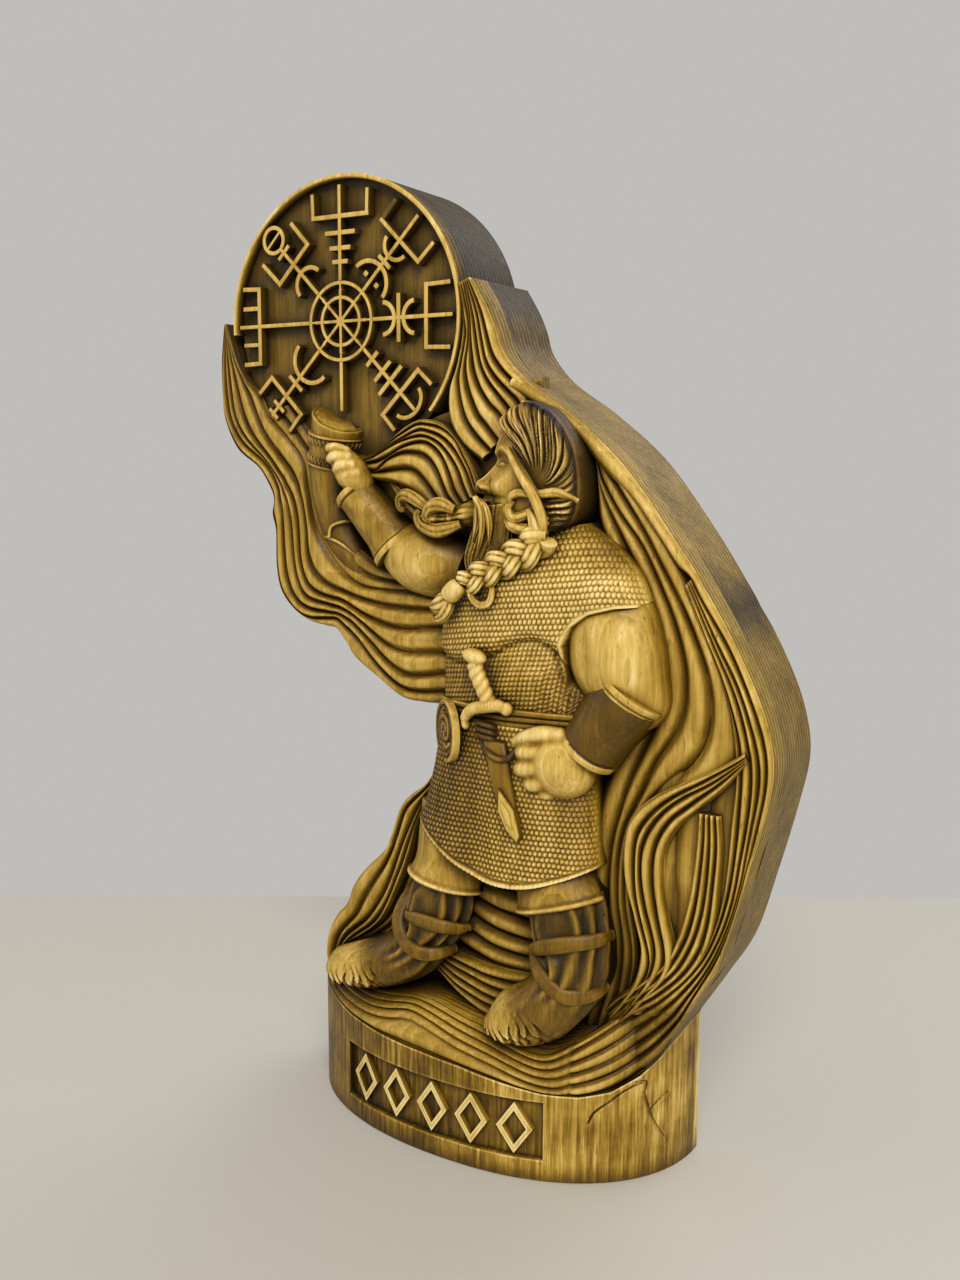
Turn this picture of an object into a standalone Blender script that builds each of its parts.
# Carved dwarf statuette: a compass disc, wind-blown strands and a standing dwarf on a plinth.
# Lengths are millimetres, turned into metres where vertices are made. +Z is up, the front faces -Y.
import math

import bmesh
import bpy
from mathutils import Vector

MM = 0.001

# overall depths, measured along Y
RIM_Y = -10.3           # crests of the strands, the disc's rim and the slab's front edge
PANEL_Y = 0.0           # front face of the back panel, the floor of the carving
BACK_Y = 24.2           # flat back
GAP = 0.3               # room between two seated pieces
SEAT_Y = PANEL_Y - GAP  # back of whatever is seated on the panel
FLAT_ANGLE = math.radians(0.5)
SHARP_ANGLE = math.radians(35)
WELD = 0.002            # vertices closer together than this are one
THINNEST = 0.4          # least thickness of a seated relief
SHELL_LIMIT = 3.5       # how far a sharp corner of a cutter is moved out, as a share of the gap
DISC_Y = -6.5           # front face of the compass disc
BAR_Y = -10.1           # tops of the compass bars

# plinth, a D in plan with its flat side at the back
PLINTH_LEFT = 70.0
PLINTH_RIGHT = 65.0
PLINTH_DEPTH = 48.0
PLINTH_ROUND = 2.2      # exponent of the curved side
PLINTH_END = 0.997      # share of the half width that the outermost stations stand at
PLINTH_STATIONS = 31
ORNAMENT_DEPTH = 2.2
ORNAMENT_LOW = 7.0
ORNAMENT_HIGH = 25.0
ORNAMENT_START = -32.0
ORNAMENT_PITCH = 14.0
ORNAMENT_COUNT = 5
ORNAMENT_MARGIN = 8.4    # from the outer lozenges' middles to the ends of their pocket
LOZENGE_WIDTH = 11.0
LOZENGE_BAR = 1.5
LOZENGE_MARGIN = 0.8

# compass disc
DISC_X = -45.6
DISC_Z = 256.4
DISC_RADIUS = 43.65
RIM_WIDTH = 1.85
RIM_START = 176.0
RIM_END = -40.0
SLAB_TURN = 14.0        # where the slab's outline leaves the disc
BAR_WIDTH = 1.6
HUB_RADIUS = 12.3
HUB_INNER = 7.2
HUB_SPOKES = 8
HUB_EYE = 1.8
HUB_WELL = 2.4
HUB_DRAFT = 0.05        # how far a well's walls lean in

# belt buckle
BUCKLE_RADIUS = 8.7
BUCKLE_THICK = 2.6
BUCKLE_PLACE = (-2.6, -15.4, 134)
BUCKLE_FACING = (-0.66, -0.75, 0)

RIDGE_PITCH = 2.6       # narrowest ridge that keeps its full groove

# the plinth's top edge, from left to right, as (x, z)
SADDLE = [(-70, 38.5), (-54, 37), (-40, 35), (-25, 33.8), (-8, 33), (6, 32), (20, 29.8), (32, 28),
          (42, 27.6), (50, 29), (56.5, 33), (60.5, 37.5), (63.5, 42.5), (65.4, 46)]
SLAB_FOOT_LEFT = -52.0
GROUND_LEFT = -60.0
GROUND_RIGHT = 57.0
GROUND_BACK = 45.0
GROUND_FRONT = 38.5
GROUND_RIDGES = 4
GROUND_SLOPE = 3.5      # how far the ridged edge leans back
GROUND_BEAD = 0.9       # depth of its grooves

# the slab's outline: left side from the tip down, then the right side from the flame tip down
TIP_LEFT = [(-93, 258), (-94.5, 246), (-94.5, 235), (-93.5, 227), (-88.5, 217.7), (-80, 211.9),
            (-76, 207), (-73.5, 201.8)]
SIDE_LEFT = [(-74.9, 200.3), (-74.2, 196.5), (-72.9, 191), (-72.9, 180), (-71.2, 171.9),
             (-66.5, 166.4), (-60, 162.5), (-54, 161.2), (-49.2, 160.4)]
WAIST_LEFT = [(-49.2, 160.4), (-45.5, 156), (-42.3, 151.9), (-33.8, 146.5), (-24.6, 140.8),
              (-16, 139.9), (-8.5, 140.2)]
LOWER_LEFT = [(-8.2, 128), (-10.5, 121), (-15, 114), (-21, 109.5), (-25, 104.5), (-27.5, 97),
              (-31, 90), (-38, 83), (-43.5, 76), (-46.5, 69), (-50.5, 64.5), (-54, 57.5),
              (-55, 51), (-54, 44), (-53.4, 40)]
FLAME_RIGHT = [(1.2, 266.4), (5.8, 259), (8.5, 253), (11, 246), (18.5, 237.5), (33.3, 227.5),
               (49.5, 214), (65, 194.5), (76.5, 177.5), (79.4, 172.6)]
SIDE_RIGHT = [(79.4, 172.6), (84.4, 164.8), (90.8, 152), (94.5, 141), (95.6, 130), (92.8, 115),
              (88, 96), (82, 75), (74, 60.5), (65.4, 46.4)]


def clear_scene():
    for item in list(bpy.data.objects):
        bpy.data.objects.remove(item, do_unlink=True)


def make_material(name, colour, roughness):
    material = bpy.data.materials.new(name)
    material.use_nodes = True
    shader = material.node_tree.nodes["Principled BSDF"]
    shader.inputs["Base Color"].default_value = (*colour, 1.0)
    shader.inputs["Roughness"].default_value = roughness
    shader.inputs["Metallic"].default_value = 0.0
    material.diffuse_color = (*colour, 1.0)
    return material


# smooth curve through key points
def smooth(points, count):
    keys = [Vector(p) for p in points]
    keys = [2 * keys[0] - keys[1]] + keys + [2 * keys[-1] - keys[-2]]
    spans = len(keys) - 3
    lengths = [0.0]
    for i in range(spans):
        lengths.append(lengths[-1] + (keys[i + 2] - keys[i + 1]).length)
    curve = []
    for k in range(count):
        reach = lengths[-1] * k / (count - 1)
        i = min(spans - 1, max(j for j in range(spans) if lengths[j] <= reach + 1e-9))
        t = (reach - lengths[i]) / max(lengths[i + 1] - lengths[i], 1e-9)
        a, b, c, d = keys[i:i + 4]
        curve.append(0.5 * (2 * b + (c - a) * t + (2 * a - 5 * b + 4 * c - d) * t ** 2
                            + (3 * b - a - 3 * c + d) * t ** 3))
    return curve


# height of a curve that runs from left to right
def height_at(points, x):
    if x <= points[0][0]:
        return points[0][1]
    for a, b in zip(points, points[1:]):
        if x <= b[0]:
            return a[1] + (b[1] - a[1]) * (x - a[0]) / (b[0] - a[0])
    return points[-1][1]


def plinth_front(x, inset=0.0):
    half = (PLINTH_LEFT if x < 0 else PLINTH_RIGHT) - inset
    share = min(1.0, abs(x) / half) ** PLINTH_ROUND
    return BACK_Y - (PLINTH_DEPTH - inset) * (1 - share) ** (1 / PLINTH_ROUND)


def circle_points(radius, start, end, count):
    angles = [math.radians(start + (end - start) * k / (count - 1)) for k in range(count)]
    return [Vector((DISC_X + radius * math.cos(a), DISC_Z + radius * math.sin(a))) for a in angles]


UNCUT = {}


def finish_object(name, bm, material):
    bmesh.ops.remove_doubles(bm, verts=bm.verts, dist=WELD * MM)
    bmesh.ops.triangulate(bm, faces=bm.faces)
    bmesh.ops.recalc_face_normals(bm, faces=bm.faces)
    mesh = bpy.data.meshes.new(name)
    bm.to_mesh(mesh)
    bm.free()
    mesh.materials.append(material)
    mesh.shade_smooth()
    mesh.set_sharp_from_angle(angle=SHARP_ANGLE)
    item = bpy.data.objects.new(name, mesh)
    bpy.context.scene.collection.objects.link(item)
    UNCUT[name] = mesh
    return item


# a flat outline in XZ, extruded from one depth to another
def prism(name, outline, front, back, material):
    bm = bmesh.new()
    ring = [bm.verts.new((x * MM, front * MM, z * MM)) for x, z in outline]
    face = bm.faces.new(ring)
    walls = bmesh.ops.extrude_face_region(bm, geom=[face])
    moved = [v for v in walls["geom"] if isinstance(v, bmesh.types.BMVert)]
    bmesh.ops.translate(bm, verts=moved, vec=(0, (back - front) * MM, 0))
    return finish_object(name, bm, material)


# a carved patch between a left and a right curve in XZ, with front(u, v, width) as its depth along Y
def relief(name, left, right, rows, columns, front, material, seat=SEAT_Y, sag=0.0):
    one = smooth(left, rows + 1)
    two = smooth(right, rows + 1)
    bm = bmesh.new()
    grid = bmesh.ops.create_grid(bm, x_segments=columns, y_segments=rows, size=0.5)
    for vert in grid["verts"]:
        u = vert.co.x + 0.5
        v = vert.co.y + 0.5
        spot = one[round(v * rows)].lerp(two[round(v * rows)], u)
        drop = sag * v * v * math.sin(math.pi * u)
        width = (two[round(v * rows)] - one[round(v * rows)]).length
        vert.co = Vector((spot[0], min(front(u, v, width), seat - THINNEST), spot[1] - drop)) * MM
    border = [edge for edge in bm.edges if edge.is_boundary]
    walls = bmesh.ops.extrude_edge_only(bm, edges=border)
    for item in walls["geom"]:
        if isinstance(item, bmesh.types.BMVert):
            item.co.y = seat * MM
    bmesh.ops.holes_fill(bm, edges=[edge for edge in bm.edges if edge.is_boundary], sides=0)
    return finish_object(name, bm, material)


# ridges side by side, round on top, with grooves between them that fade where the bundle narrows
def ridged(count, crest, groove):
    def front(u, v, width):
        wave = abs(math.sin(math.pi * count * u))
        return crest + groove * (1 - wave) * min(1.0, width / (count * RIDGE_PITCH)) ** 2
    return front


# a loaf: round across, falling to the seat at both sides
def rounded(crest, edge, power=2.4):
    def front(u, v, width):
        across = (1 - abs(2 * u - 1) ** power) ** (1 / power)
        return edge + (crest - edge) * across
    return front


# a limb through stations of (x, y, z, half width, half depth), round in section
def limb(name, stations, sides, material, steps=10):
    path = smooth([s[:3] for s in stations], steps)
    sizes = smooth([(s[3], s[4], 0) for s in stations], steps)
    bm = bmesh.new()
    grid = bmesh.ops.create_grid(bm, x_segments=sides, y_segments=steps - 1, size=0.5)
    for vert in grid["verts"]:
        angle = 2 * math.pi * (vert.co.x + 0.5)
        k = round((vert.co.y + 0.5) * (steps - 1))
        along = (path[min(k + 1, steps - 1)] - path[max(k - 1, 0)]).normalized()
        across = along.cross(Vector((0, -1, 0))).normalized()
        rise = across.cross(along)
        offset = across * sizes[k][0] * math.cos(angle) + rise * sizes[k][1] * math.sin(angle)
        vert.co = (path[k] + offset) * MM
    bmesh.ops.remove_doubles(bm, verts=bm.verts, dist=WELD * MM)
    bmesh.ops.holes_fill(bm, edges=[edge for edge in bm.edges if edge.is_boundary], sides=0)
    return finish_object(name, bm, material)


# a copy of a piece as it was before its own cuts, larger by the gap all round, to cut its neighbours with
def grown(item):
    bm = bmesh.new()
    bm.from_mesh(UNCUT[item.name])
    bm.normal_update()
    moves = [vert.normal * GAP * MM * min(vert.calc_shell_factor(), SHELL_LIMIT) for vert in bm.verts]
    for vert, move in zip(bm.verts, moves):
        vert.co += move
    mesh = bpy.data.meshes.new(item.name + "_cutter")
    bm.to_mesh(mesh)
    bm.free()
    cutter = bpy.data.objects.new(item.name + "_cutter", mesh)
    cutter.matrix_world = item.matrix_world
    bpy.context.scene.collection.objects.link(cutter)
    return cutter


# keep only the largest of the bodies that a cut has left, with its flat faces made simple again
def keep_largest(item):
    bm = bmesh.new()
    bm.from_mesh(item.data)
    left = set(bm.verts)
    bodies = []
    while left:
        body = set()
        front = [left.pop()]
        while front:
            vert = front.pop()
            body.add(vert)
            for edge in vert.link_edges:
                other = edge.other_vert(vert)
                if other in left:
                    left.remove(other)
                    front.append(other)
        bodies.append(body)
    bodies.sort(key=body_size, reverse=True)
    for body in bodies[1:]:
        bmesh.ops.delete(bm, geom=list(body), context="VERTS")
    bmesh.ops.dissolve_limit(bm, angle_limit=FLAT_ANGLE, verts=bm.verts, edges=bm.edges)
    bmesh.ops.triangulate(bm, faces=bm.faces)
    bm.to_mesh(item.data)
    bm.free()


def body_size(body):
    low = Vector(min(v.co[k] for v in body) for k in range(3))
    high = Vector(max(v.co[k] for v in body) for k in range(3))
    return (high - low).length


def boolean(item, cutter, operation):
    modifier = item.modifiers.new("cut", "BOOLEAN")
    modifier.operation = operation
    modifier.object = cutter
    bpy.context.view_layer.update()
    graph = bpy.context.evaluated_depsgraph_get()
    mesh = bpy.data.meshes.new_from_object(item.evaluated_get(graph))
    item.modifiers.clear()
    item.data = mesh
    bpy.data.objects.remove(cutter, do_unlink=True)
    keep_largest(item)


def clear_of(item, neighbours):
    for other in neighbours:
        boolean(item, grown(other), "DIFFERENCE")
    return item


def box_between(name, low, high, material):
    bm = bmesh.new()
    bmesh.ops.create_cube(bm, size=1.0)
    for vert in bm.verts:
        vert.co = Vector(low[k] + (high[k] - low[k]) * (vert.co[k] + 0.5) for k in range(3)) * MM
    return finish_object(name, bm, material)


# nothing reaches behind the seat on the panel
def seated(item):
    behind = box_between(item.name + "_behind", (-200, SEAT_Y, -50), (200, 80, 400), item.data.materials[0])
    boolean(item, behind, "DIFFERENCE")
    return item


# stations across the plinth, closer together towards its two ends
def plinth_stations(start, end, count):
    low = math.asin(max(-1.0, start / PLINTH_LEFT))
    high = math.asin(min(1.0, end / PLINTH_RIGHT))
    xs = []
    for k in range(count):
        angle = low + (high - low) * k / (count - 1)
        xs.append((PLINTH_LEFT if angle < 0 else PLINTH_RIGHT) * math.sin(angle))
    return xs


# the plinth's own stations, which what stands on its curved top shares
def plinth_xs(low=-math.inf, high=math.inf):
    stations = plinth_stations(-PLINTH_LEFT * PLINTH_END, PLINTH_RIGHT * PLINTH_END, PLINTH_STATIONS)
    return [x for x in stations if low < x < high]


# a bar along X whose section at each station is a closed loop of (y, z)
def sectioned(name, stations, section, material):
    loops = [section(x) for x in stations]
    size = len(loops[0])
    bm = bmesh.new()
    grid = bmesh.ops.create_grid(bm, x_segments=size, y_segments=len(stations) - 1, size=0.5)
    for vert in grid["verts"]:
        j = round((vert.co.x + 0.5) * size) % size
        i = round((vert.co.y + 0.5) * (len(stations) - 1))
        y, z = loops[i][j]
        vert.co = Vector((stations[i], y, z)) * MM
    bmesh.ops.remove_doubles(bm, verts=bm.verts, dist=WELD * MM)
    bmesh.ops.holes_fill(bm, edges=[edge for edge in bm.edges if edge.is_boundary], sides=0)
    return finish_object(name, bm, material)


def make_plinth(wood):
    def body(x):
        top = height_at(SADDLE, x)
        front = plinth_front(x)
        return [(front, 0), (front, top / 2), (front, top), (BACK_Y, top), (BACK_Y, 0)]

    def pocket(x):
        front = plinth_front(x) - 4
        floor = plinth_front(x) + ORNAMENT_DEPTH
        return [(front, ORNAMENT_LOW), (front, ORNAMENT_HIGH), (floor, ORNAMENT_HIGH), (floor, ORNAMENT_LOW)]

    plinth = sectioned("plinth", plinth_xs(), body, wood)
    low = ORNAMENT_START - ORNAMENT_MARGIN
    high = ORNAMENT_START + ORNAMENT_PITCH * (ORNAMENT_COUNT - 1) + ORNAMENT_MARGIN
    stations = plinth_stations(low, high, 17)
    boolean(plinth, sectioned("pocket", stations, pocket, wood), "DIFFERENCE")
    return plinth


# an open lozenge of bars, standing in the plinth's pocket
def make_lozenge(number, wood):
    middle = ORNAMENT_START + ORNAMENT_PITCH * number
    tall = ORNAMENT_HIGH - ORNAMENT_LOW - 2 * LOZENGE_MARGIN
    level = (ORNAMENT_HIGH + ORNAMENT_LOW) / 2
    slope = math.hypot(LOZENGE_WIDTH, tall)
    inner = 1 - 2 * LOZENGE_BAR * slope / (LOZENGE_WIDTH * tall)
    bm = bmesh.new()
    for scale in (1.0, inner):
        ring = bmesh.ops.create_circle(bm, segments=4, radius=0.5)["verts"]
        for vert in ring:
            vert.co = Vector((vert.co.x * LOZENGE_WIDTH * scale, 0, vert.co.y * tall * scale))
    bmesh.ops.bridge_loops(bm, edges=list(bm.edges))
    walls = bmesh.ops.extrude_face_region(bm, geom=list(bm.faces))
    back = set(v for v in walls["geom"] if isinstance(v, bmesh.types.BMVert))
    for vert in bm.verts:
        x = middle + vert.co.x
        y = plinth_front(x) + (ORNAMENT_DEPTH - 2 * GAP if vert in back else 2 * GAP)
        vert.co = Vector((x, y, level + vert.co.z)) * MM
    return finish_object("plinth_lozenge_%d" % (number + 1), bm, wood)


# the ground that the feet stand on, with four ridges along its front edge
def make_ground(wood):
    rows = 2 * GROUND_RIDGES

    def section(x):
        low = height_at(SADDLE, x) + GAP
        high = max(GROUND_FRONT, low + 1.5)
        edge = plinth_front(x) + 0.2
        loop = []
        for k in range(rows + 1):
            rise = k / rows
            bead = GROUND_BEAD * (1 - abs(math.sin(math.pi * GROUND_RIDGES * rise)))
            loop.append((edge + GROUND_SLOPE * rise * rise + bead, low + (high - low) * rise))
        loop = [(min(y, SEAT_Y - 0.6), z) for y, z in loop]
        start = loop[-1][0]
        share = (SEAT_Y - start) / (PLINTH_DEPTH - BACK_Y)
        back = high + (GROUND_BACK - GROUND_FRONT) * share
        return loop + [((start + SEAT_Y) / 2, (high + back) / 2), (SEAT_Y, back), (SEAT_Y, low)]

    return sectioned("ground", plinth_xs(GROUND_LEFT, GROUND_RIGHT), section, wood)


def slab_outline():
    bottom = [(x, height_at(SADDLE, x) + GAP) for x in plinth_xs(SLAB_FOOT_LEFT, PLINTH_RIGHT)]
    outline = circle_points(DISC_RADIUS, RIM_START, SLAB_TURN, 22)
    outline += smooth(FLAME_RIGHT, 16)
    outline += smooth(SIDE_RIGHT, 14)[1:]
    outline += [Vector(p) for p in reversed(bottom)]
    outline += list(reversed(smooth(LOWER_LEFT, 18)))
    outline += list(reversed(smooth(WAIST_LEFT, 12)))
    outline += list(reversed(smooth(SIDE_LEFT, 14)))[1:]
    outline += list(reversed(smooth(TIP_LEFT, 14)))
    return outline


def make_disc(wood, rim_wood):
    inside = DISC_RADIUS - RIM_WIDTH
    disc = prism("compass_disc", circle_points(inside - GAP, 0, 351, 40), DISC_Y, SEAT_Y, wood)
    bm = bmesh.new()
    corners = [(inside, RIM_Y), (DISC_RADIUS, RIM_Y), (DISC_RADIUS, SEAT_Y), (inside, SEAT_Y)]
    start = math.radians(RIM_START)
    ring = [bm.verts.new(Vector((DISC_X + r * math.cos(start), y, DISC_Z + r * math.sin(start))) * MM)
            for r, y in corners]
    face = bm.faces.new(ring)
    swept = bmesh.ops.spin(bm, geom=[face], cent=Vector((DISC_X, 0, DISC_Z)) * MM, axis=(0, 1, 0),
                           angle=math.radians(RIM_START - RIM_END), steps=30)
    bmesh.ops.contextual_create(bm, geom=[g for g in swept["geom_last"]])
    return disc, finish_object("disc_rim", bm, rim_wood)


# the compass hub: a wheel of two rings and spokes, with wells sunk between them
def make_hub(wood):
    steps = HUB_SPOKES * 2
    radii = (HUB_EYE, HUB_INNER - BAR_WIDTH / 2, HUB_RADIUS)
    bm = bmesh.new()
    grid = bmesh.ops.create_grid(bm, x_segments=steps, y_segments=len(radii) - 1, size=0.5)
    for vert in grid["verts"]:
        angle = 2 * math.pi * (vert.co.x + 0.5)
        radius = radii[round((vert.co.y + 0.5) * (len(radii) - 1))]
        vert.co = Vector((DISC_X + radius * math.cos(angle), BAR_Y, DISC_Z + radius * math.sin(angle))) * MM
    bmesh.ops.remove_doubles(bm, verts=bm.verts, dist=WELD * MM)
    sectors = {}
    for face in bm.faces:
        spot = face.calc_center_median() / MM
        turn = math.atan2(spot.z - DISC_Z, spot.x - DISC_X) % (2 * math.pi)
        ring = math.hypot(spot.z - DISC_Z, spot.x - DISC_X) > radii[1]
        sectors.setdefault((ring, int(turn / (2 * math.pi) * HUB_SPOKES)), []).append(face)
    for faces in sectors.values():
        bmesh.ops.inset_region(bm, faces=faces, thickness=BAR_WIDTH / 2 * MM, use_even_offset=True)
        bmesh.ops.inset_region(bm, faces=faces, thickness=HUB_DRAFT * MM, use_even_offset=True)
        for vert in set(v for face in faces for v in face.verts):
            vert.co.y += HUB_WELL * MM
    outer = [edge for edge in bm.edges if edge.is_boundary]
    eye = [e for e in outer if math.hypot(e.verts[0].co.x / MM - DISC_X, e.verts[0].co.z / MM - DISC_Z) < radii[1]]
    bmesh.ops.holes_fill(bm, edges=eye, sides=0)
    walls = bmesh.ops.extrude_edge_only(bm, edges=[edge for edge in bm.edges if edge.is_boundary])
    for item in walls["geom"]:
        if isinstance(item, bmesh.types.BMVert):
            item.co.y = (DISC_Y - GAP) * MM
    bmesh.ops.holes_fill(bm, edges=[edge for edge in bm.edges if edge.is_boundary], sides=0)
    return finish_object("compass_hub", bm, wood)


# compass arms, clockwise from the top: where the tip is, and what crosses the stem from the hub outwards:
# a bar (place, reach), a fork (place, reach, prong length, inner prongs), a bow (place, reach, bend)
# or a round end (place, radius). Places, tips and prongs are shares of the way from the hub to the rim
ARMS = {
    "n": (0.922, [("bar", 0.183, 3), ("bar", 0.319, 4), ("bar", 0.471, 5.7), ("fork", 0.634, 10.5, 0.237)]),
    "ne": (0.953, [("bow", 0.281, 6.3, -5.0), ("bar", 0.363, 3), ("bow", 0.451, 4.8, 2.6),
                   ("fork", 0.637, 9.5, 0.254)]),
    "e": (0.953, [("bow", 0.214, 3.8, -3.6), ("bar", 0.302, 6.5), ("bow", 0.397, 4.5, 4.4),
                  ("fork", 0.641, 9, 0.288)]),
    "se": (0.888, [("bar", 0.146, 3), ("bar", 0.325, 4.2), ("bar", 0.458, 6), ("fork", 0.631, 9.4, 0.22),
                   ("bow", 0.858, 5.6, -3.6)]),
    "s": (0.38, []),
    "sw": (0.925, [("bow", 0.349, 6.5, -8.0), ("bar", 0.451, 3.5), ("fork", 0.634, 8.3, 0.244),
                   ("bar", 0.783, 2.8), ("bar", 0.892, 2.4)]),
    "w": (0.953, [("fork", 0.678, 11.9, 0.224, 5.7)]),
    "nw": (0.708, [("bow", 0.315, 4.6, -6.0), ("fork", 0.451, 8, 0.322), ("bar", 0.634, 3),
                   ("round", 0.824, 4.3)]),
}


# one side of a compass arm, from the hub to the tip, as (along, across)
def arm_side(length, marks):
    half = BAR_WIDTH / 2
    way = DISC_RADIUS - RIM_WIDTH - HUB_RADIUS
    side = [(HUB_RADIUS + GAP, half)]
    for mark in marks:
        kind, place, reach = mark[:3]
        along = HUB_RADIUS + way * place
        if kind == "bar":
            side += [(along - half, half), (along - half, reach), (along + half, reach), (along + half, half)]
        elif kind == "fork":
            tip = along + way * mark[3]
            side += [(along - half, half), (along - half, reach), (tip, reach), (tip, reach - BAR_WIDTH)]
            side.append((along + half, reach - BAR_WIDTH))
            for near in mark[4:]:
                side += [(along + half, near + half), (tip, near + half), (tip, near - half)]
                side.append((along + half, near - half))
            side.append((along + half, half))
        elif kind == "bow":
            steps = [half + (reach - half) * k / 3 for k in range(4)]
            bend = mark[3]
            side += [(along - half + bend * (a / reach) ** 2, a) for a in steps]
            side += [(along + half + bend * (a / reach) ** 2, a) for a in reversed(steps)]
        elif kind == "round":
            start = math.pi - math.asin(half / reach)
            for k in range(9):
                angle = start * (1 - k / 8)
                side.append((along + reach * math.cos(angle), max(0.0, reach * math.sin(angle))))
            return side
    return side + [(HUB_RADIUS + way * length, half)]


def make_arm(name, wood):
    length, marks = ARMS[name]
    turn = math.pi / 2 - 2 * math.pi * list(ARMS).index(name) / len(ARMS)
    side = arm_side(length, marks)
    loop = side + [(a, -b) for a, b in reversed(side) if b > 0 or (a, b) != side[-1]]
    outline = [(DISC_X + a * math.cos(turn) - b * math.sin(turn),
                DISC_Z + a * math.sin(turn) + b * math.cos(turn)) for a, b in loop]
    return prism("compass_arm_" + name, outline, BAR_Y, DISC_Y - GAP, wood)


# bundles of wind-blown strands: left curve, right curve, rows, ridges, crest, groove
STRANDS = {
    "left_upper_strands": (
        TIP_LEFT + SIDE_LEFT[1:-1] + WAIST_LEFT,
        [(-92.6, 258), (-89, 247), (-85, 240), (-80.5, 235.5), (-76, 228), (-68, 221), (-62.3, 214), (-60.5, 204),
         (-57.5, 192), (-50.5, 182), (-41, 175.5), (-30, 174.2), (-18, 174.3), (-9, 172.5)],
        27, 6, RIM_Y, 3.4),
    "left_lower_strands": (
        LOWER_LEFT,
        [(-7, 128), (-8, 121), (-11, 114), (-15, 107), (-18, 100), (-20, 92), (-23, 84), (-27, 75), (-32, 66),
         (-39, 62), (-45, 59.5), (-48, 55), (-49, 50), (-49.5, 44), (-49, 40)],
        20, 4, RIM_Y, 3.0),
    "crown_strands": (
        [(-2.6, 265), (-1.2, 257), (-1.6, 249), (-3.6, 241), (-6.5, 234), (-6, 226), (-2, 219), (5, 214)],
        [(1.2, 266.4), (5.8, 259), (8.5, 253), (11, 246), (14.6, 241.1), (18.5, 237.5), (21, 234.6), (22, 229)],
        13, 6, RIM_Y, 3.2),
    "rim_fold": (
        [(19.5, 232.5), (28, 228.6), (36, 223.5), (44, 216.2), (54, 204.5), (63, 193), (69.5, 183.8), (74, 176), (78, 171.5)],
        [(21.6, 235.3), (33.3, 227.5), (41.5, 221.2), (49.5, 214), (57.5, 204.6), (65, 194.5), (72.3, 184.6), (76.5, 177.5),
         (79.4, 172.6)],
        14, 1, RIM_Y, 2.4),
    "shoulder_folds": (
        [(35, 223.6), (42, 216), (44.5, 208), (45, 198), (50.5, 189), (57.5, 178), (63, 164), (64.5, 151), (60, 138),
         (53, 126), (48.5, 114), (46.5, 102), (46, 88), (48, 70), (44, 56)],
        [(36, 223.2), (44, 215.4), (53.7, 204.3), (62.7, 192.6), (68.8, 183.6), (68, 177), (75, 163), (80, 150), (80.5, 139),
         (76, 129), (65, 123.5), (57, 116.5), (52.5, 107), (52.6, 92), (54, 62)],
        18, 4, -8.6, 4.2),
    "right_rim_strands": (
        [(69.5, 181), (74.5, 169.5), (80, 158), (83.5, 148), (85, 138), (85.3, 128), (84.6, 118), (84, 106),
         (83.2, 95), (82.3, 86), (80.6, 78), (76, 69.5), (69, 63), (61, 57), (52, 50)],
        [(72.4, 184.3), (79.4, 173.4), (84.4, 164.8), (90.8, 152), (94.5, 141), (95.6, 130), (92.8, 115), (90.2, 105.5),
         (88, 96), (85, 85), (82, 75), (78, 67.5), (74, 60.5), (69.7, 53.5), (65.4, 46.4)],
        20, 4, RIM_Y, 3.0),
    "upper_tongue": (
        [(88.2, 137.3), (80, 131.8), (70, 126.3), (61.5, 121), (55.5, 114.5), (53.2, 106), (53.4, 96), (56.6, 86), (59, 76),
         (57, 66)],
        [(89, 135), (83, 127), (75.5, 119.5), (69.5, 113.5), (66, 106), (65.6, 96), (67.5, 86.5), (69.5, 78), (68, 70),
         (62, 63)],
        13, 3, -11.2, 3.4),
    "lower_tongue": (
        [(75.6, 119), (75.2, 110), (74, 98), (72.6, 88), (71.4, 80), (68.5, 72.5), (61, 65)],
        [(81.8, 119), (82.6, 109), (82.2, 98), (81.4, 88), (79.8, 79), (75, 70.5), (67, 63.5)],
        9, 2, -10.8, 3.0),
    "wind_curl": (
        [(-37.5, 208.5), (-32, 208), (-26.5, 207.6), (-21, 205.8), (-16, 202.6), (-11.5, 200.6), (-8, 202)],
        [(-38, 214.4), (-33, 216.6), (-27.5, 219.8), (-21, 224.2), (-15, 226.2), (-8, 225), (-2, 218.8), (3.5, 209)],
        11, 5, -11.6, 3.0),
    "between_legs_folds": (
        [(25, 60.5), (17, 60), (9, 60), (0, 61)],
        [(25, 90), (17, 91), (9, 92), (2, 93)],
        6, 5, -7.6, 2.2),
    "ground_folds": (
        [(27, 46), (17, 44.5), (7, 45.5), (-3, 47)],
        [(27, 60), (17, 58.5), (7, 58.5), (-6, 60.4)],
        6, 4, -10.6, 2.4),
}


def make_strands(name, wood):
    left, right, rows, ridges, crest, groove = STRANDS[name]
    return relief(name, left, right, rows, 2 * ridges, ridged(ridges, crest, groove), wood)


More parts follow.
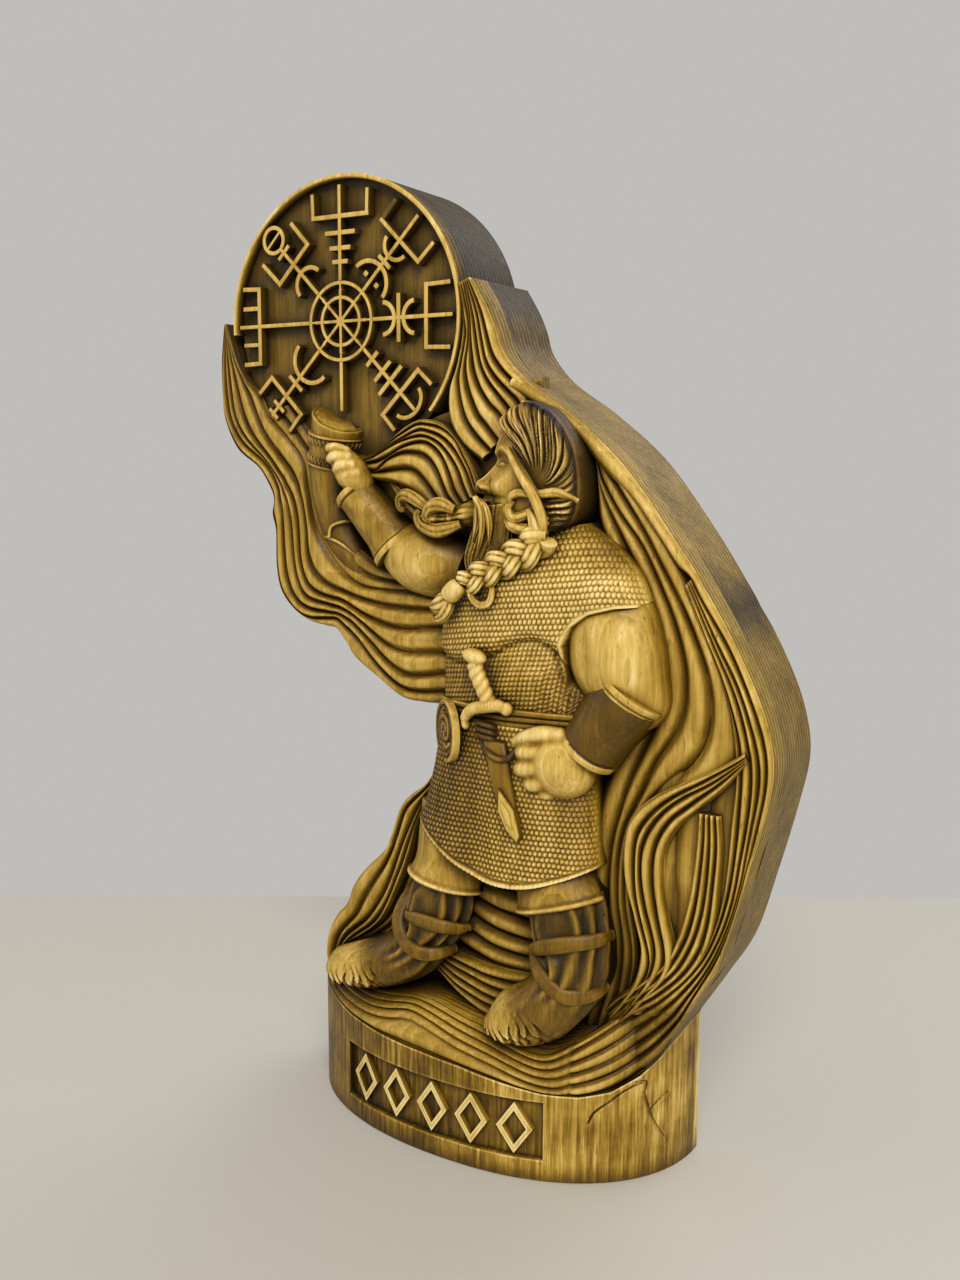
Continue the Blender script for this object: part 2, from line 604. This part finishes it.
# patches of the figure: left curve, right curve, rows, columns, crest, depth at the sides, sag
PATCHES = {
    "face": (
        [(17, 224.5), (13.4, 221.5), (11.6, 217.5), (12, 213.6), (9.6, 210.3), (4.2, 206), (7, 203.4), (6.6, 200.4), (9, 197)],
        [(33, 224.5), (33, 222), (33, 218), (33, 214), (33, 210), (33, 206), (33, 203), (33, 200), (33, 197)],
        10, 5, -19.5, -12, 0),
    "hair": (
        [(24, 230.6), (17.4, 228), (14.4, 224), (17.8, 219.5), (20.4, 214), (20.8, 207), (22.5, 201), (27, 196.6)],
        [(26.5, 230.8), (34, 229.2), (40.5, 224.6), (45, 217.5), (47, 209), (46, 202), (41, 197), (34, 194.6)],
        8, 6, -21.5, -11, 0),
    "beard": (
        [(9.4, 200.5), (6.2, 196.5), (3.6, 191), (2.4, 185.5), (5.4, 181)],
        [(22, 201), (23, 196.5), (22.4, 191), (19, 186.4), (12, 182.6)],
        8, 6, -19.6, -13, 0),
    "mail_shirt": (
        [(12, 191), (5, 183), (-2.5, 175), (-7.2, 166), (-8, 155), (-6.6, 143.4)],
        [(40.5, 197), (50, 191), (58.5, 181.5), (61, 170), (57, 156), (50, 143.4)],
        8, 6, -20.2, -9, 0),
    "belt": (
        [(-7.2, 143), (-8.4, 138.6)],
        [(50.4, 143), (50.4, 138.6)],
        2, 8, -20.8, -9.5, 0),
    "mail_skirt": (
        [(-7.6, 138.2), (-9, 127), (-11.6, 116), (-14.8, 106)],
        [(44.5, 138.2), (44.6, 125), (45.6, 112), (47, 99)],
        6, 8, -21.6, -9, 11.5),
}


def make_patch(name, wood):
    left, right, rows, columns, crest, edge, sag = PATCHES[name]
    return relief(name, left, right, rows, columns, rounded(crest, edge), wood, sag=sag)


# rounded pieces of the figure: stations of (x, y, z, half width, half depth), sides, steps
LIMBS = {
    "drinking_horn": (
        [(-48.6, -4.5, 228, 11.2, 8.6), (-51.6, -4.5, 216, 9.4, 8.6), (-52.4, -4.5, 203, 7, 7.4), (-49.8, -4.5, 192, 6, 6.4),
         (-44.4, -4.5, 183, 4.4, 5), (-36, -4.5, 174.8, 0.8, 1.2)], 10, 12),
    "right_hand": (
        [(-50.6, -12.4, 218, 2.4, 2.6), (-46, -12.6, 215.4, 5, 5), (-41, -12, 211.4, 6.6, 6.4),
         (-38.6, -10, 207.4, 6.8, 6.6)], 10, 7),
    "right_bracer": (
        [(-41, -9, 204.6, 7, 7), (-36.5, -8.4, 199.4, 7, 7), (-28, -7.4, 190.2, 8.4, 8), (-25.4, -7, 187.2, 9, 8.6)], 10, 7),
    "right_forearm": (
        [(-26, -6.5, 188, 7, 7), (-22, -6.5, 186, 9.4, 9), (-15, -6.5, 184, 10.6, 10), (-8.6, -6, 182.4, 10, 9),
         (-3.4, -5, 181, 7.6, 7)], 10, 8),
    "left_upper_arm": (
        [(54, -7, 177, 7, 8), (52.6, -8.4, 171, 11.4, 11), (53.4, -9.4, 163, 13.2, 12), (55.6, -9.6, 155, 12, 11.4),
         (57, -9.6, 148, 9, 9.4)], 10, 9),
    "left_bracer": (
        [(56.4, -11, 152.6, 9.6, 9), (53.4, -11.4, 148, 9.8, 9.2), (47.4, -12.4, 139.4, 9.2, 8.6), (43.4, -13, 133.4, 8.8, 8.4)],
        10, 7),
    "left_fist": (
        [(43.6, -13.4, 134.4, 7.8, 7.6), (38, -14, 132, 10, 8.8), (31, -14.6, 129.4, 11.2, 9.2), (24.6, -14.8, 128, 9.4, 8.4),
         (21, -14.8, 127.4, 5.4, 6)], 10, 8),
    "right_thigh": (
        [(-6.4, -8.4, 108, 10, 8.4), (-6.8, -9, 98, 10.6, 9), (-6, -9.6, 88, 10.4, 9), (-5, -9.6, 83.2, 10, 8.8)], 10, 7),
    "left_thigh": (
        [(31, -8.8, 106, 12.4, 9.4), (32.4, -9.6, 96, 13, 10), (33.4, -10.2, 87, 12.6, 10), (34.6, -10.2, 82.4, 12, 9.6)], 10, 7),
    "right_boot": (
        [(-4.6, -9.4, 82.6, 9.2, 8.6), (-7, -10.4, 76, 9.4, 9), (-11, -11.4, 68, 8.6, 8.6), (-17, -12.4, 60, 8, 8),
         (-26, -13.4, 54.6, 7.8, 7.4), (-36, -14, 51, 7.6, 7.2), (-44, -14, 49.4, 6, 6), (-48.6, -13, 48.6, 2.6, 3.4)], 10, 12),
    "left_boot": (
        [(35.4, -10, 81.8, 11.4, 9.4), (37.4, -11, 75, 11.6, 9.6), (37.4, -12, 67, 10.4, 9.4), (35.4, -13.4, 59, 9.4, 9),
         (29.4, -15, 51.6, 9.6, 8.4), (22, -16.4, 47.4, 8.6, 7.2), (16, -17, 45, 4.4, 5)], 10, 13),
    "dagger_grip": (
        [(4.6, -21.4, 158, 3.2, 2.8), (7.2, -21.6, 154.6, 3.6, 2.8), (9, -21.6, 151.6, 2.8, 2.4), (13.6, -21.6, 145.4, 2.8, 2.4)],
        10, 7),
    "dagger_guard": (
        [(4.6, -21.2, 139.4, 1.2, 1.4), (8, -21.6, 142.2, 1.9, 1.9), (14, -21.8, 143.6, 2, 2), (20.6, -21.4, 143.4, 1.3, 1.5)],
        10, 7),
    "dagger_scabbard": (
        [(11.4, -21.4, 131.6, 4.4, 2.4), (14, -21.8, 123, 4.8, 2.6), (17.6, -22, 112, 4.2, 2.6), (20.4, -21.8, 103, 1.6, 1.8)],
        10, 8),
    "moustache": (
        [(9.4, -20.6, 204, 1.4, 1.4), (12.4, -21.2, 201, 2.2, 2), (13.6, -21.4, 196, 2.2, 2), (12.6, -21, 190.4, 1.2, 1.2)], 8, 7),
    "temple_lock": (
        [(20.6, -20.6, 216.6, 1.2, 1.2), (25.4, -21.8, 210.6, 2.2, 2), (30.6, -22, 203.6, 2.6, 2.2), (33, -21.4, 196.4, 1.8, 1.8)],
        8, 7),
    "wind_tuft": (
        [(1.6, -9, 198.4, 4, 9.6), (-6, -8.2, 197.6, 4, 8.8), (-13.6, -7.6, 198.4, 3.2, 8.2), (-20, -7, 201.6, 2.2, 7.6),
         (-24.6, -6.6, 205.4, 1, 7)], 10, 9),
    "braid_tassel": (
        [(4.6, -21, 178.4, 2, 2), (3.2, -21.2, 177.4, 3.4, 3), (0.8, -20.8, 175.8, 2.4, 2.2), (-2, -19.8, 173, 3.8, 3.2),
         (-6, -18.4, 169.8, 2, 1.8)], 10, 9),
    "right_boot_strap": (
        [(-21.4, -15, 77, 1.4, 1.4), (-21.6, -16.8, 70, 1.7, 1.7), (-16.6, -18.8, 64.4, 1.8, 1.7), (-9.6, -19.4, 62, 1.8, 1.7),
         (-3, -17.6, 62.6, 1.4, 1.4)], 8, 9),
    "left_boot_upper_strap": (
        [(28.6, -16.4, 71.4, 1.4, 1.4), (33, -20.2, 74.8, 1.7, 1.7), (40, -20.6, 77.4, 1.8, 1.7), (48, -15.6, 78.6, 1.5, 1.5)], 8, 8),
    "left_boot_lower_strap": (
        [(28.4, -16.4, 69, 1.4, 1.4), (33, -20, 65, 1.7, 1.7), (40, -19.8, 62.6, 1.8, 1.7), (46.6, -15, 62.6, 1.5, 1.5)], 8, 8),
}


def make_limb(name, wood):
    stations, sides, steps = LIMBS[name]
    return seated(limb(name, stations, sides, wood, steps))


# the plait hanging from the temple: a chain of lobes along a path, thinnest between them
BRAID_PATH = [(32.4, -20.4, 194.6), (28.6, -21.2, 190.6), (22.6, -21.8, 187.4), (15.6, -21.8, 184),
              (10, -21.4, 180.8), (5.6, -21.2, 178.9)]
BRAID_LOBES = 4
BRAID_THIN = (2.5, 2.2)     # half width and half depth between two lobes
BRAID_SWELL = (1.7, 1.2)    # what a lobe adds to them


def make_braid(wood):
    path = smooth(BRAID_PATH, 4 * BRAID_LOBES + 1)
    stations = []
    for k, spot in enumerate(path):
        swell = abs(math.sin(math.pi * BRAID_LOBES * k / (len(path) - 1)))
        stations.append((*spot, BRAID_THIN[0] + BRAID_SWELL[0] * swell, BRAID_THIN[1] + BRAID_SWELL[1] * swell))
    return limb("beard_braid", stations, 8, wood, steps=len(path))


# the horn's band: a thin sleeve round the horn below its mouth
HORN_BAND = [(-50.2, -4.5, 221.6, 11.6, 9.8), (-51.3, -4.5, 217.4, 11, 9.8), (-52, -4.5, 213.2, 10.4, 9.6)]


def make_horn_band(horn, wood):
    band = limb("horn_band", HORN_BAND, 14, wood, steps=4)
    return clear_of(seated(band), [horn])


# the round belt buckle, turned to the figure's right
def make_buckle(wood):
    bm = bmesh.new()
    bmesh.ops.create_cone(bm, cap_ends=True, segments=20, radius1=BUCKLE_RADIUS * MM, radius2=BUCKLE_RADIUS * MM,
                          depth=BUCKLE_THICK * MM)
    face = Vector(BUCKLE_FACING).normalized()
    turn = face.to_track_quat("Z", "Y").to_matrix().to_4x4()
    bmesh.ops.transform(bm, matrix=turn, verts=bm.verts)
    bmesh.ops.translate(bm, verts=bm.verts, vec=Vector(BUCKLE_PLACE) * MM)
    return finish_object("belt_buckle", bm, wood)


def build():
    clear_scene()
    light = make_material("ash_light", (0.46, 0.33, 0.12), 0.45)
    middle = make_material("ash_stained", (0.27, 0.18, 0.06), 0.5)
    dark = make_material("ash_dark", (0.09, 0.06, 0.03), 0.55)
    part = {}

    def add(item):
        part[item.name] = item
        return item

    def limbs(names, wood=light):
        for name in names:
            add(make_limb(name, wood))

    def cut(name, others):
        clear_of(part[name], [part[other] for other in others])

    add(make_plinth(middle))
    for number in range(ORNAMENT_COUNT):
        add(make_lozenge(number, light))
    add(make_ground(middle))
    add(prism("back_panel", slab_outline(), PANEL_Y, BACK_Y, middle))

    # the drinking arm
    limbs(["right_hand", "right_bracer", "right_forearm", "drinking_horn"])
    add(make_horn_band(part["drinking_horn"], light))
    cut("right_bracer", ["right_hand"])
    cut("right_forearm", ["right_bracer"])
    cut("drinking_horn", ["right_hand", "right_bracer"])
    cut("horn_band", ["right_hand"])

    # head
    limbs(["temple_lock", "moustache", "wind_tuft", "braid_tassel"])
    add(make_braid(light))
    cut("braid_tassel", ["beard_braid"])
    for name, wood in (("hair", dark), ("face", light), ("beard", middle)):
        add(make_patch(name, wood))
    cut("temple_lock", ["beard_braid"])
    cut("hair", ["temple_lock", "beard_braid"])
    cut("face", ["hair", "moustache", "temple_lock"])
    cut("beard", ["face", "hair", "moustache", "temple_lock", "beard_braid"])
    cut("wind_tuft", ["beard", "face", "right_forearm", "right_bracer"])

    # the other arm
    limbs(["left_fist", "left_bracer", "left_upper_arm"])
    cut("left_bracer", ["left_fist"])
    cut("left_upper_arm", ["left_bracer"])

    # body
    add(make_buckle(light))
    limbs(["dagger_grip", "dagger_guard", "dagger_scabbard"])
    cut("dagger_grip", ["dagger_guard"])
    cut("dagger_scabbard", ["left_fist"])
    add(make_patch("mail_shirt", light))
    cut("mail_shirt", ["hair", "beard", "beard_braid", "braid_tassel", "left_upper_arm", "left_bracer",
                       "left_fist", "dagger_grip", "dagger_guard", "right_forearm", "belt_buckle"])
    add(make_patch("belt", middle))
    cut("belt", ["belt_buckle", "dagger_grip", "dagger_guard", "left_fist", "left_bracer"])
    add(make_patch("mail_skirt", light))
    cut("mail_skirt", ["belt_buckle", "dagger_scabbard", "dagger_guard", "left_fist", "left_bracer"])

    # legs
    limbs(["right_boot_strap", "left_boot_upper_strap", "left_boot_lower_strap", "right_thigh", "left_thigh",
           "right_boot", "left_boot"])
    for side in ("right", "left"):
        cut(side + "_thigh", ["mail_skirt"])
        cut(side + "_boot", [side + "_thigh", "ground"])
    cut("right_boot", ["right_boot_strap"])
    cut("left_boot_lower_strap", ["left_boot_upper_strap"])
    cut("left_boot", ["left_boot_upper_strap", "left_boot_lower_strap"])

    # strands and folds behind the figure
    for name in STRANDS:
        add(make_strands(name, light))
    figure = ["drinking_horn", "horn_band", "right_hand", "right_bracer", "right_forearm", "mail_shirt", "face", "beard",
              "hair", "wind_tuft", "belt_buckle", "belt", "mail_skirt", "left_upper_arm", "left_bracer", "left_fist",
              "braid_tassel", "right_thigh", "left_thigh", "right_boot", "left_boot", "right_boot_strap"]
    near = {
        "wind_curl": figure[:10],
        "left_upper_strands": figure[:6] + ["belt_buckle", "belt", "braid_tassel"],
        "left_lower_strands": ["mail_skirt", "right_thigh", "right_boot", "right_boot_strap", "ground"],
        "crown_strands": ["wind_curl", "face", "hair"],
        "right_rim_strands": ["lower_tongue", "upper_tongue", "ground"],
        "rim_fold": ["right_rim_strands", "crown_strands", "hair"],
        "shoulder_folds": ["hair", "mail_shirt", "left_upper_arm", "left_bracer", "left_fist", "mail_skirt", "left_thigh",
                           "left_boot", "rim_fold", "right_rim_strands", "upper_tongue", "ground"],
        "upper_tongue": ["left_boot", "ground"],
        "lower_tongue": ["upper_tongue", "ground"],
        "ground_folds": ["left_boot", "right_boot", "ground"],
        "between_legs_folds": ["ground_folds", "left_boot", "right_boot", "left_thigh", "right_thigh", "mail_skirt",
                               "right_boot_strap", "left_boot_upper_strap", "left_boot_lower_strap"],
    }
    order = ["wind_curl", "left_upper_strands", "left_lower_strands", "crown_strands", "upper_tongue", "lower_tongue",
             "right_rim_strands", "rim_fold", "shoulder_folds", "ground_folds", "between_legs_folds"]
    for name in order:
        cut(name, near[name])

    # compass disc, cut round what lies over its edge
    disc, rim = make_disc(dark, light)
    add(disc)
    add(rim)
    over = ["left_upper_strands", "crown_strands", "drinking_horn", "horn_band", "right_hand", "wind_curl"]
    cut("compass_disc", over)
    cut("disc_rim", ["left_upper_strands", "crown_strands", "wind_curl"])
    add(make_hub(light))
    for name in ARMS:
        arm = add(make_arm(name, light))
        if name in ("s", "sw", "w"):
            clear_of(arm, [part["left_upper_strands"], part["drinking_horn"]])
        if name in ("e", "se"):
            clear_of(arm, [part["crown_strands"], part["wind_curl"]])


build()
